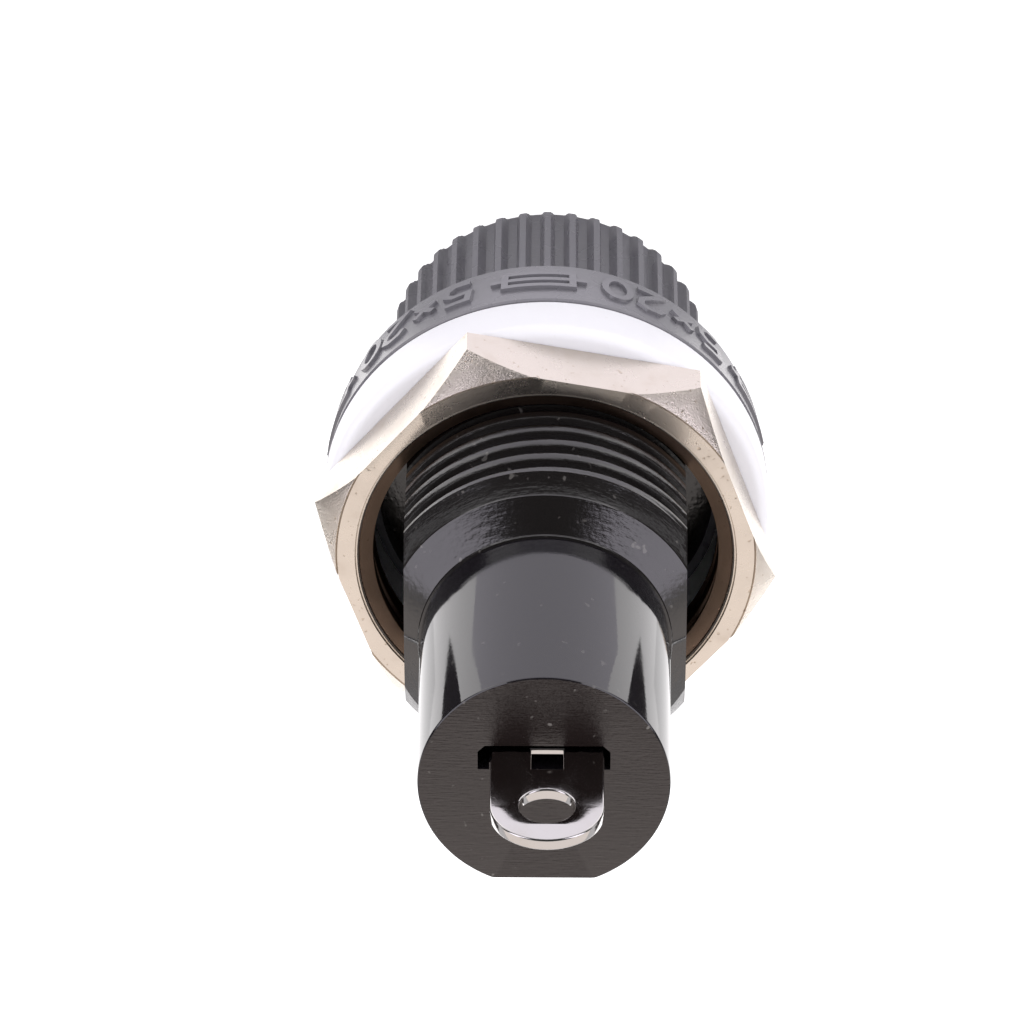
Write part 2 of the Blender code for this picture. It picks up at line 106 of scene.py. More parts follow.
def share(name, value, description, top=1.0):
    return FloatProperty(name=name, description=description, default=value, min=0.0, max=top)


class HousingSettings(bpy.types.PropertyGroup):
    barrel_radius: size("Barrel radius", 6.5, "Radius over the thread's crests")
    flats_across: size("Across flats", 10.6, "Distance between the barrel's two flats")
    thread_pitch: size("Thread pitch", 1.0, "Rise of the thread in one turn")
    thread_depth: size("Thread depth", 0.42, "Depth of the thread's valleys")
    thread_crest: size("Crest height", 20.2, "Height of a crest on the -Y side")
    shoulder_width: size("Shoulder width", 0.55, "Inward reach of the chamfer behind the thread")
    shoulder_length: size("Shoulder length", 0.7, "Length of the chamfer behind the thread")
    cone_length: size("Cone length", 1.0, "Length of the cone up to the neck")
    neck_length: size("Neck length", 9.3, "Length of the neck")
    neck_base_radius: size("Neck base radius", 4.67, "Radius where the neck leaves the cone")
    neck_end_radius: size("Neck end radius", 4.6, "Radius at the end face")
    neck_ledge: size("Neck ledge", 0.08, "Narrow ledge round the foot of the neck")
    neck_flat: size("Neck flat", 4.15, "Distance of the neck's flat from the axis")
    seam_height: size("Seam height", 0.03, "How far the mould's parting seam stands up")
    barrel_colour: colour("Barrel colour", (0.0060, 0.0046, 0.0043), "Black of the threaded barrel")
    neck_colour: colour("Neck colour", (0.007, 0.006, 0.008), "Black of the glossy neck")
    face_colour: colour("End face colour", (0.012, 0.008, 0.0075), "Black of the matt end face")


class CapSettings(bpy.types.PropertyGroup):
    rib_count: IntProperty(name="Ribs", description="Ribs round the knob", default=40, min=8)
    rib_depth: size("Rib depth", 0.36, "Depth of the hollows between the ribs")
    rib_share: share("Rib share", 0.26, "Share of each rib's pitch that its crest takes")
    front_edge: size("Front edge", 0.7, "Radius of the knob's front edge")
    rear_edge: size("Rear edge", 0.23, "Radius of the knob's rear edge")
    dish_radius: size("Dish radius", 4.6, "Radius of the dish in the front face")
    dish_depth: size("Dish depth", 0.3, "Depth of the dish in the front face")
    floor: size("Floor", 1.6, "Thickness of the knob's front wall")
    ferrule_thread: size("Ferrule thread", 0.12, "Depth of the thread rolled in the ferrule")
    spring_wire: size("Spring wire", 0.2, "Radius of the spring's wire")
    spring_rise: size("Spring end rise", 0.44, "Rise of the spring's flat end turns")
    spring_turns: IntProperty(name="Spring turns", description="Turns of wire", default=6, min=3)
    clip_travel: size("Clip travel", 1.5, "How far the clip goes in when it is pressed")
    colour: colour("Knob colour", (0.140, 0.136, 0.150), "Dark grey of the knob and flange")


class WasherSettings(bpy.types.PropertyGroup):
    bore_radius: size("Bore radius", 6.8, "Radius of the washer's bore")
    edge: size("Rear edge", 0.45, "Radius of the washer's edge under the nut")
    front_edge: size("Front edge", 0.12, "Radius of the washer's edge at the flange")
    colour: colour("Washer colour", (0.80, 0.795, 0.82), "White of the nylon washer")


class NutSettings(bpy.types.PropertyGroup):
    across: size("Across flats", 15.6, "Distance between opposite flats")
    face_radius: size("Face radius", 8.05, "Radius of the rear face inside the corner chamfer")
    corner_height: size("Corner height", 1.26, "Height at which the chamfer reaches a corner")
    bore_radius: size("Bore radius", 6.62, "Radius over the crests of the nut's thread")
    thread_depth: size("Thread depth", 0.3, "Depth of the nut's thread")
    mouth: size("Mouth", 0.6, "Width of the chamfer round the bore")
    mouth_depth: size("Mouth depth", 0.4, "Depth of the chamfer round the bore")
    turn: tilt("Turn", 19.5, "Turn of the nut on the barrel")
    edge: size("Edge", 0.06, "Rounding of the nut's edges")
    colour: colour("Nickel", (0.63, 0.575, 0.51), "Nickel plate over brass")
    stain: colour("Worn nickel", (0.47, 0.385, 0.295), "Warmer plate in the pits and corners")


class TerminalSettings(bpy.types.PropertyGroup):
    width: size("Width", 4.1, "Width of both solder tabs")
    hole_radius: size("Eye radius", 1.0, "Radius of the eye")
    edge: size("Edge", 0.07, "Rounding of the tabs' edges")
    window_width: size("Window width", 1.15, "Width of the window at the tab's root")
    window_height: size("Window height", 1.2, "Height of the window above the end face")
    tab_length: size("Tab length", 5.5, "Reach of the end tab beyond the end face")
    tab_lean: tilt("Tab lean", 1.5, "How far the end tab leans back")
    colour: colour("Tin", (0.51, 0.495, 0.485), "Bright tin plate")
    brass: colour("Brass", (0.78, 0.60, 0.34), "Bare brass of the ferrule and sleeve")
    steel: colour("Steel", (0.60, 0.60, 0.61), "Spring steel")


class StageSettings(bpy.types.PropertyGroup):
    floor_size: size("Floor", 3000.0, "Side of the square floor")
    floor_colour: colour("Floor colour", (0.62, 0.62, 0.62), "Pale floor")
    floor_fill: share("Floor fill", 0.85, "White added where the camera sees the floor")
    sky: share("Sky", 1.0, "Level of the soft light from all round")
    dark_sky: share("Dark sky", 0.07, "Level before the holder as gloss mirrors it")
    rear_sky: share("Rear sky", 1.28, "Level behind the holder as gloss mirrors it", 9.0)
    rear_tint: colour("Rear tint", (1.0, 0.915, 0.875), "Warmth of the level behind the holder")
    side_light: share("Side light", 2.6, "Level of the two side softboxes", 9.0)
    front_card: share("Front card", 0.66, "Level of the card on the floor before the holder", 9.0)
    side_card: share("Side cards", 1.35, "Level of the cards beside the holder", 9.0)
    back_card: share("Back card", 0.9, "Level of the card behind the holder", 9.0)


SETTINGS = {
    "holder_housing": HousingSettings,
    "holder_cap": CapSettings,
    "holder_washer": WasherSettings,
    "holder_nut": NutSettings,
    "holder_terminals": TerminalSettings,
    "holder_stage": StageSettings,
}


def linked(data, name):
    """A new object in the scene with this mesh, curve, light or camera."""
    made = bpy.data.objects.new(name, data)
    bpy.context.scene.collection.objects.link(made)
    return made


def from_bmesh(name, bm):
    mesh = bpy.data.meshes.new(name)
    bm.to_mesh(mesh)
    bm.free()
    return linked(mesh, name)


def revolve(name, column, turns):
    """Skin between columns of (radius, height) points, one at each share of a full turn."""
    bm = bmesh.new()
    rings = []
    for turn in turns:
        angle = 2 * math.pi * turn
        across, along = math.cos(angle), math.sin(angle)
        rings.append([bm.verts.new((r * across, r * along, z)) for r, z in column(turn)])
    for near, far in zip(rings, rings[1:]):
        for low, high, far_low, far_high in zip(near, near[1:], far, far[1:]):
            bm.faces.new((low, high, far_high, far_low))
    bmesh.ops.remove_doubles(bm, verts=bm.verts, dist=WELD)
    bmesh.ops.dissolve_degenerate(bm, dist=WELD, edges=bm.edges)
    bmesh.ops.recalc_face_normals(bm, faces=bm.faces)
    return from_bmesh(name, bm)


def even_turns(steps=ROUND_STEPS):
    return [step / steps for step in range(steps + 1)]


def seam_turns(reach):
    """Even turns with three more columns on each side of the mould's parting seam."""
    close = [seam + side * reach * part for seam in (0.0, 0.5, 1.0)
             for side in (-1, 1) for part in (0.5, 1.0)]
    return sorted(even_turns() + [turn for turn in close if 0 < turn < 1])


def arc(centre, radius, start, stop, steps=5):
    """Points on an arc in the plane of a profile, angles in degrees."""
    points = []
    for step in range(steps + 1):
        angle = math.radians(start + (stop - start) * step / steps)
        points.append((centre[0] + radius * math.cos(angle), centre[1] + radius * math.sin(angle)))
    return points


def thread_points(turn, high, low, crest, pitch, radius, depth, fade):
    """Points of a right-hand thread from high to low; inward depth is positive."""
    top = crest + math.ceil((high - crest) / pitch) * pitch
    points = []
    for rise in range(math.ceil((top + pitch - low) / pitch) + 1):
        for phase, valley in THREAD_FORM:
            height = min(max(top + pitch * (turn - rise - phase), low), high)
            ends = min((high - height) / fade, (height - low) / fade, 1.0)
            points.append((radius - depth * valley * ends, height))
    return points


def smooth(piece, angle=28.0):
    """Smooth shading between sharp edges, with normals that follow the larger faces."""
    piece.data.shade_smooth()
    piece.data.set_sharp_from_angle(angle=math.radians(angle))
    step = piece.modifiers.new("Normals", "WEIGHTED_NORMAL")
    step.keep_sharp = True
    return piece


def box_cutter(low, high):
    bm = bmesh.new()
    bmesh.ops.create_cube(bm, size=1.0)
    scale = Vector(high) - Vector(low)
    middle = (Vector(high) + Vector(low)) / 2
    bmesh.ops.transform(bm, matrix=Matrix.Translation(middle) @ Matrix.Diagonal(scale).to_4x4(),
                        verts=bm.verts)
    return from_bmesh("cutter", bm)


def flat_solid(name, loops, thickness, edge=0.0):
    """Solid from closed 2D loops, the first outside and the rest holes, centred on z = 0."""
    curve = bpy.data.curves.new(name, "CURVE")
    curve.dimensions = "2D"
    curve.fill_mode = "BOTH"
    curve.extrude = thickness / 2 - edge
    curve.bevel_depth = edge
    curve.bevel_resolution = 2
    curve.offset = -edge
    for loop in loops:
        spline = curve.splines.new("POLY")
        spline.points.add(len(loop) - 1)
        for point, (x, y) in zip(spline.points, loop):
            point.co = (x, y, 0.0, 1.0)
        spline.use_cyclic_u = True
    return applied(linked(curve, name), weld=2e-6)


def applied(source, weld=None):
    """The object as a plain mesh object with its modifiers applied, in its place."""
    bpy.context.view_layer.update()
    graph = bpy.context.evaluated_depsgraph_get()
    mesh = bpy.data.meshes.new_from_object(source.evaluated_get(graph))
    mesh.transform(source.matrix_world)
    name = source.name
    bpy.data.objects.remove(source, do_unlink=True)
    if weld:
        bm = bmesh.new()
        bm.from_mesh(mesh)
        bmesh.ops.remove_doubles(bm, verts=bm.verts, dist=weld)
        bmesh.ops.recalc_face_normals(bm, faces=bm.faces)
        bm.to_mesh(mesh)
        bm.free()
    return linked(mesh, name)


def carve(piece, cutters, operation="DIFFERENCE"):
    """Cut or join a piece with other solids and remove them."""
    for number, cutter in enumerate(cutters):
        step = piece.modifiers.new("Step %d" % number, "BOOLEAN")
        step.operation = operation
        step.solver = "EXACT"
        step.object = cutter
    result = applied(piece)
    for cutter in cutters:
        bpy.data.objects.remove(cutter, do_unlink=True)
    return result


def bevelled(piece, width):
    step = piece.modifiers.new("Edges", "BEVEL")
    step.width = width
    step.segments = 2
    step.limit_method = "ANGLE"
    step.angle_limit = math.radians(30.0)
    return applied(piece)


def coat(piece, *materials):
    piece.data.materials.clear()
    for material in materials:
        piece.data.materials.append(material)


def dress(piece, body, materials, nodes=()):
    """Give a piece its body, the CAD nodes that it stands for and its materials."""
    coat(piece, *materials)
    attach(piece, body)
    if nodes:
        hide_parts(*nodes)


def noise(tree, vector, scale, detail=3.0, roughness=0.5):
    node = tree.nodes.new("ShaderNodeTexNoise")
    node.inputs["Scale"].default_value = scale
    node.inputs["Detail"].default_value = detail
    node.inputs["Roughness"].default_value = roughness
    tree.links.new(vector, node.inputs["Vector"])
    return node.outputs["Fac"]


def remap(tree, value, low, high, to_low=0.0, to_high=1.0):
    node = tree.nodes.new("ShaderNodeMapRange")
    for label, number in (("From Min", low), ("From Max", high),
                          ("To Min", to_low), ("To Max", to_high)):
        node.inputs[label].default_value = number
    tree.links.new(value, node.inputs["Value"])
    return node.outputs["Result"]


def maths(tree, operation, first, second):
    node = tree.nodes.new("ShaderNodeMath")
    node.operation = operation
    for socket, value in zip(node.inputs, (first, second)):
        if isinstance(value, (int, float)):
            socket.default_value = value
        else:
            tree.links.new(value, socket)
    return node.outputs["Value"]


def blend_colours(tree, factor, first, second):
    node = tree.nodes.new("ShaderNodeMix")
    node.data_type = "RGBA"
    tree.links.new(factor, node.inputs["Factor"])
    for socket, value in ((node.inputs["A"], first), (node.inputs["B"], second)):
        if isinstance(value, tuple):
            socket.default_value = (*value[:3], 1.0)
        else:
            tree.links.new(value, socket)
    return node.outputs["Result"]


def stretched(tree, scale):
    """Object coordinates stretched by a scale on each axis."""
    coordinates = tree.nodes.new("ShaderNodeTexCoord")
    mapping = tree.nodes.new("ShaderNodeMapping")
    mapping.inputs["Scale"].default_value = scale
    tree.links.new(coordinates.outputs["Object"], mapping.inputs["Vector"])
    return mapping.outputs["Vector"]


def node_group(name, inputs, outputs):
    """A new shader group with named sockets, and its input and output nodes."""
    tree = bpy.data.node_groups.new(name, "ShaderNodeTree")
    for way, sockets in (("INPUT", inputs), ("OUTPUT", outputs)):
        for label, kind in sockets.items():
            tree.interface.new_socket(label, in_out=way, socket_type="NodeSocket" + kind)
    return tree, tree.nodes.new("NodeGroupInput"), tree.nodes.new("NodeGroupOutput")


def finish_group(name, second_colour, amount):
    """A new group from two colours, a roughness and an amount to a finish."""
    inputs = {"Color": "Color", second_colour: "Color", "Roughness": "Float", amount: "Float"}
    return node_group(name, inputs, {"Color": "Color", "Roughness": "Float", "Height": "Float"})


def send(tree, leave, outputs):
    for label, value in outputs.items():
        tree.links.new(value, leave.inputs[label])


def moulded_group(name):
    """Moulded plastic: fine grain, broad mottling and a few pale flecks of dust."""
    tree, entry, leave = finish_group(name, "Fleck Color", "Flecks")
    vector = stretched(tree, (1.0, 1.0, 1.0))
    grain = noise(tree, vector, 5200.0, 2.0)
    broad = noise(tree, vector, 420.0, 3.0)
    dust = noise(tree, vector, 2600.0, 1.0)
    specks = maths(tree, "MULTIPLY", remap(tree, dust, 0.72, 0.78), entry.outputs["Flecks"])
    tone = blend_colours(tree, specks, entry.outputs["Color"], entry.outputs["Fleck Color"])
    uneven = remap(tree, broad, 0.3, 0.7, -0.03, 0.03)
    rough = maths(tree, "ADD", entry.outputs["Roughness"], uneven)
    height = maths(tree, "ADD", remap(tree, grain, 0.3, 0.7, 0.0, 0.35),
                   remap(tree, broad, 0.3, 0.7, 0.0, 0.25))
    send(tree, leave, {"Color": tone, "Roughness": rough, "Height": height})


def plated_group(name):
    """Plated metal: tiny pits, cloudy tone and a duller look where the plate is thin."""
    tree, entry, leave = finish_group(name, "Worn Color", "Pits")
    vector = stretched(tree, (1.0, 1.0, 1.0))
    cloud = noise(tree, vector, 700.0, 4.0, 0.6)
    fine = noise(tree, vector, 13000.0, 3.0, 0.6)
    dots = noise(tree, vector, 5200.0, 1.0)
    pits = maths(tree, "MULTIPLY", remap(tree, dots, 0.70, 0.76), entry.outputs["Pits"])
    worn = maths(tree, "MAXIMUM", pits, remap(tree, cloud, 0.55, 0.85, 0.0, 0.45))
    tone = blend_colours(tree, worn, entry.outputs["Color"], entry.outputs["Worn Color"])
    uneven = remap(tree, cloud, 0.3, 0.8, -0.04, 0.10)
    rough = maths(tree, "ADD", entry.outputs["Roughness"], uneven)
    bumps = maths(tree, "MULTIPLY", remap(tree, fine, 0.3, 0.7, 0.0, 0.4), entry.outputs["Pits"])
    height = maths(tree, "SUBTRACT", bumps, pits)
    send(tree, leave, {"Color": tone, "Roughness": rough, "Height": height})


def streak_group(name):
    """Fine scratches and drag lines along one way."""
    tree, entry, leave = node_group(name, {"Vector": "Vector", "Amount": "Float"},
                                    {"Height": "Float"})
    lines = noise(tree, entry.outputs["Vector"], 1.0, 3.0, 0.65)
    clear = remap(tree, lines, 0.35, 0.75)
    send(tree, leave, {"Height": maths(tree, "MULTIPLY", clear, entry.outputs["Amount"])})


def place_group(tree, name, make, values):
    """A node with the shared group of that name, which make builds the first time."""
    if name not in bpy.data.node_groups:
        make(name)
    node = tree.nodes.new("ShaderNodeGroup")
    node.node_tree = bpy.data.node_groups[name]
    for label, value in values.items():
        if isinstance(value, tuple):
            value = (*value[:3], 1.0)
        node.inputs[label].default_value = value
    return node


def principled(name, constants):
    """A new material, its node tree and its Principled shader, with these inputs set."""
    material = bpy.data.materials.new(name)
    material.use_nodes = True
    shader = material.node_tree.nodes["Principled BSDF"]
    for label, value in constants.items():
        shader.inputs[label].default_value = value
    return material, material.node_tree, shader


def surface(name, group, make, values, bump, constants, drag):
    """A material fed by a finish group, with drag lines where their stretch is given."""
    material, tree, shader = principled(name, constants)
    finish = place_group(tree, group, make, values)
    tree.links.new(finish.outputs["Color"], shader.inputs["Base Color"])
    tree.links.new(finish.outputs["Roughness"], shader.inputs["Roughness"])
    height = finish.outputs["Height"]
    if drag:
        stretch, amount = drag
        lines = place_group(tree, "Drag lines", streak_group, {"Amount": amount})
        tree.links.new(stretched(tree, stretch), lines.inputs["Vector"])
        height = maths(tree, "ADD", height, lines.outputs["Height"])
    relief = tree.nodes.new("ShaderNodeBump")
    relief.inputs["Strength"].default_value = 1.0
    relief.inputs["Distance"].default_value = bump
    tree.links.new(height, relief.inputs["Height"])
    tree.links.new(relief.outputs["Normal"], shader.inputs["Normal"])
    material.diffuse_color = (*values["Color"][:3], 1.0)
    return material


def plastic(name, tone, roughness, flecks, bump, drag=None, fleck=(0.16, 0.15, 0.14), ior=1.65):
    values = {"Color": tuple(tone), "Fleck Color": fleck, "Roughness": roughness, "Flecks": flecks}
    return surface(name, "Moulded plastic", moulded_group, values, bump, {"IOR": ior}, drag)


def metal(name, tone, worn, roughness, pits, bump, drag=None):
    values = {"Color": tuple(tone), "Worn Color": tuple(worn), "Roughness": roughness, "Pits": pits}
    return surface(name, "Plated metal", plated_group, values, bump, {"Metallic": 1.0}, drag)


def paint_faces(piece, choose):
    """Give each face the material number that choose says for its centre and normal."""
    for face in piece.data.polygons:
        face.material_index = choose(face.center, face.normal)


class FUSE_HOLDER_OT_housing(bpy.types.Operator):
    """Moulded body with its real thread, chamfer, cone, glossy neck, end slot and parting seam"""

    bl_idname = "fuse_holder.housing"
    bl_label = "Housing"

    def execute(self, context):
        s = context.scene.holder_housing
        end = HOUSING_HIGH.z
        neck = end - s.neck_length
        cone = neck - s.cone_length
        shoulder = cone - s.shoulder_length
        front = HOUSING_LOW.z
        panel = WASHER_LOW.z - FLANGE_GAP
        rim = HOUSING_HIGH.x
        front_rim = rim - RIM_TAPER
        edge = 0.15 * MM
        end_edge = 0.1 * MM
        thread_fade = 0.15 * MM
        sleeve_gap = 0.2 * MM
        sleeve_rim = SLEEVE_HIGH.x + sleeve_gap
        sleeve_seat = front + 1.1 * MM
        bore = 4.6 * MM
        step = SLEEVE_HIGH.z + sleeve_gap
        chamber = 3.05 * MM
        chamber_end = end - 2.0 * MM
        seam_width = 0.0016
        crest = s.thread_crest - 0.75 * s.thread_pitch
        ledge = s.neck_base_radius + s.neck_ledge
        inner = s.barrel_radius - s.shoulder_width
        fillet, soft, drop, lip = (part * MM for part in (0.04, 0.03, 0.07, 0.02))
        corner = arc((s.neck_end_radius - end_edge, end - end_edge), end_edge, 90.0, 0.0, 3)

        def seam(turn):
            away = min(abs(turn - line) for line in (0.0, 0.5, 1.0))
            return s.seam_height * max(0.0, 1.0 - away / seam_width)

        def column(turn):
            lift = seam(turn)
            points = [(0.0, end)] + corner
            points += [(s.neck_base_radius + lift, neck + fillet), (ledge, neck)]
            points += [(ledge + soft + lift, neck - drop), (inner - soft + lift, cone + soft)]
            points += [(inner + lift, cone - drop), (s.barrel_radius - lip + lift, shoulder)]
            thread = thread_points(turn, shoulder - soft, panel, crest, s.thread_pitch,
                                   s.barrel_radius, s.thread_depth, thread_fade)
            points += [(r + lift, z) for r, z in thread]
            points += [(rim - edge, panel), (rim - 0.3 * edge, panel - 0.3 * edge)]
            points += [(rim, panel - edge), (front_rim, front + edge)]
            points += [(front_rim - 0.3 * edge, front + 0.3 * edge), (front_rim - edge, front)]
            points += [(sleeve_rim, front), (sleeve_rim, sleeve_seat), (bore, sleeve_seat)]
            points += [(bore, step), (chamber, step), (chamber, chamber_end), (0.0, chamber_end)]
            return points

        body = revolve("housing_moulding", column, seam_turns(seam_width))
        reach = rim + MM
        half = s.flats_across / 2
        foot = 0.1 * MM
        side_gap = 0.15 * MM
        cutters = [
            box_cutter((half, -reach, panel + foot), (reach, reach, end + MM)),
            box_cutter((-reach, -reach, panel + foot), (-half, reach, end + MM)),
            box_cutter((-reach, s.neck_flat, neck + foot), (reach, reach, end + MM)),
            box_cutter((SIDE_LOW.x - side_gap, SIDE_LOW.y - side_gap, front - MM),
                       (SIDE_HIGH.x + side_gap, SIDE_HIGH.y + side_gap, neck + MM)),
            self.slot_cutter(end, chamber_end),
        ]
        body = carve(body, cutters)
        smooth(body)
        barrel = plastic("black moulding", s.barrel_colour, roughness=0.19, flecks=0.4, bump=1e-5,
                         drag=((900.0, 900.0, 7000.0), 0.5))
        gloss = plastic("glossy neck", s.neck_colour, roughness=0.055, flecks=0.25, bump=1e-6,
                        ior=1.52)
        face = plastic("matt end face", s.face_colour, roughness=0.09, flecks=0.8, bump=1e-5,
                       drag=((1500.0, 14000.0, 1500.0), 1.0), ior=1.56)
        satin = plastic("satin flange", context.scene.holder_cap.colour, roughness=0.27,
                        flecks=0.3, bump=1e-5)
        finishes = (barrel, gloss, face, satin)

        def choose(centre, normal):
            if centre.z < panel + 0.01 * MM:
                return finishes.index(satin)
            if centre.z > end - 0.01 * MM:
                return finishes.index(face)
            return finishes.index(gloss if centre.z > neck + 0.05 * MM else barrel)

        dress(body, "holder_body", finishes, ("housing",))
        paint_faces(body, choose)
        return {"FINISHED"}

    def slot_cutter(self, end, chamber_end):
        """The end wall's slot with a short leg at each end, which the tab comes out of."""
        half = (TAB_HIGH.x - TAB_LOW.x) / 2
        front = TAB_LOW.y - 0.28 * MM
        back = front + 0.72 * MM
        leg_back = back + 0.30 * MM
        leg_in = half - 0.07 * MM
        leg_out = half + 0.35 * MM
        cut = 0.26 * MM
        notch = 0.65 * MM
        middle = (TAB_LOW.x + TAB_HIGH.x) / 2
        loop = [
            (-leg_out, front + cut), (-leg_out + cut, front), (leg_out - cut, front),
            (leg_out, front + cut), (leg_out, leg_back), (leg_in, leg_back), (leg_in, back),
            (middle + notch, back), (middle + notch, leg_back), (middle - notch, leg_back),
            (middle - notch, back), (-leg_in, back), (-leg_in, leg_back), (-leg_out, leg_back),
        ]
        cutter = flat_solid("slot", [loop], 4 * MM)
        cutter.data.transform(Matrix.Translation((0.0, 0.0, (end + chamber_end) / 2)))
        return cutter


class FUSE_HOLDER_OT_rim_marks(bpy.types.Operator):
    """Raised generic marks round the flange's rim: the fuse size in numbers and fuse symbols"""

    bl_idname = "fuse_holder.rim_marks"
    bl_label = "Rim marks"

    def execute(self, context):
        low, high = HOUSING_LOW.z, WASHER_LOW.z - FLANGE_GAP
        middle = (low + high) / 2 - 0.1 * MM
        radius = HOUSING_HIGH.x - RIM_TAPER / 2
        slope = RIM_TAPER / (high - low)
        bm = bmesh.new()
        symbols = 5
        for number in range(symbols):
            for offset, strokes in self.pattern():
                centre = 2 * math.pi * (number + offset) / symbols
                for path, closed in strokes:
                    self.stroke(bm, path, closed, centre, middle, radius, slope)
        bmesh.ops.recalc_face_normals(bm, faces=bm.faces)
        marks = from_bmesh("flange_marks", bm)
        smooth(marks)
        dress(marks, "holder_body", (bpy.data.materials["satin flange"],))
        return {"FINISHED"}

    def pattern(self):
        """Each mark's share of a part of the rim, with its strokes in millimetres."""
        ring = [(0.5 * math.cos(a), 0.8 * math.sin(a))
                for a in (2 * math.pi * k / 20 for k in range(20))]
        five = [(0.5, 0.8), (-0.4, 0.8), (-0.45, 0.1), (0.2, 0.15), (0.5, -0.1), (0.5, -0.5),
                (0.2, -0.8), (-0.45, -0.75)]
        two = [(-0.5, 0.45), (-0.3, 0.75), (0.15, 0.8), (0.45, 0.55), (0.4, 0.15), (-0.5, -0.8),
               (0.5, -0.8)]
        rise, fall = [(-0.42, -0.42), (0.42, 0.42)], [(-0.42, 0.42), (0.42, -0.42)]
        case = [(-1.3, -0.55), (1.3, -0.55), (1.3, 0.55), (-1.3, 0.55)]
        wire = [(-1.85, 0.0), (1.85, 0.0)]
        return (
            (0.08, [(five, False)]),
            (0.22, [(rise, False), (fall, False)]),
            (0.36, [(two, False)]),
            (0.49, [(ring, True)]),
            (0.78, [(case, True), (wire, False)]),
        )

    def stroke(self, bm, path, closed, centre, middle, radius, slope):
        """A raised line of even width along a path on the flange's cone."""
        half, sunk, proud = 0.18 * MM, -0.05 * MM, 0.12 * MM
        corners = [Vector(p) * MM for p in path]
        ends = corners[1:] + corners[:1] if closed else corners[1:]
        points = []
        for start, stop in zip(corners, ends):
            parts = max(1, round((stop - start).length / (0.4 * MM)))
            points += [start.lerp(stop, part / parts) for part in range(parts)]
        if not closed:
            points.append(corners[-1])
        count = len(points)
        rows = []
        for index, point in enumerate(points):
            before = points[index - 1] if closed or index else point
            after = points[(index + 1) % count] if closed or index < count - 1 else point
            come, go = (point - before).normalized(), (after - point).normalized()
            way = (come + go).normalized()
            corner = 2.0 / max((come + go).length, 1.0) if come.length and go.length else 1.0
            side = Vector((-way.y, way.x)) * half * corner
            row = []
            for share_out, lift in ((1.0, sunk), (0.75, proud), (-0.75, proud), (-1.0, sunk)):
                u, v = point + side * share_out
                angle = centre + u / radius
                r = radius + v * slope + lift
                row.append(bm.verts.new((r * math.cos(angle), r * math.sin(angle), middle + v)))
            rows.append(row)
        pairs = list(zip(rows, rows[1:])) + ([(rows[-1], rows[0])] if closed else [])
        for near, far in pairs:
            for k in range(4):
                bm.faces.new((near[k], near[(k + 1) % 4], far[(k + 1) % 4], far[k]))
        if not closed:
            bm.faces.new(rows[0])
            bm.faces.new(reversed(rows[-1]))


class FUSE_HOLDER_OT_washer(bpy.types.Operator):
    """White nylon ring between the flange and the panel"""

    bl_idname = "fuse_holder.washer"
    bl_label = "Washer"

    def execute(self, context):
        s = context.scene.holder_washer
        low, high = WASHER_LOW.z, WASHER_HIGH.z
        rim = WASHER_HIGH.x - s.edge
        bevel = 0.1 * MM
        profile = [(s.bore_radius, low + bevel), (s.bore_radius, high - bevel)]
        profile += [(s.bore_radius + bevel, high)]
        profile += arc((rim, high - s.edge), s.edge, 90.0, 0.0, 6)
        front = WASHER_HIGH.x - s.front_edge
        profile += arc((front, low + s.front_edge), s.front_edge, 0.0, -90.0, 3)
        profile += [(s.bore_radius + bevel, low), (s.bore_radius, low + bevel)]
        washer = smooth(revolve("washer_ring", lambda turn: profile, even_turns()))
        nylon = plastic("white nylon", s.colour, roughness=0.42, flecks=0.15, bump=1e-5,
                        fleck=(0.6, 0.58, 0.55))
        shader = nylon.node_tree.nodes["Principled BSDF"]
        shader.inputs["Subsurface Weight"].default_value = 0.15
        shader.inputs["Subsurface Radius"].default_value = (0.0008, 0.0008, 0.0008)
        dress(washer, "washer", (nylon,), ("panel_washer",))
        return {"FINISHED"}


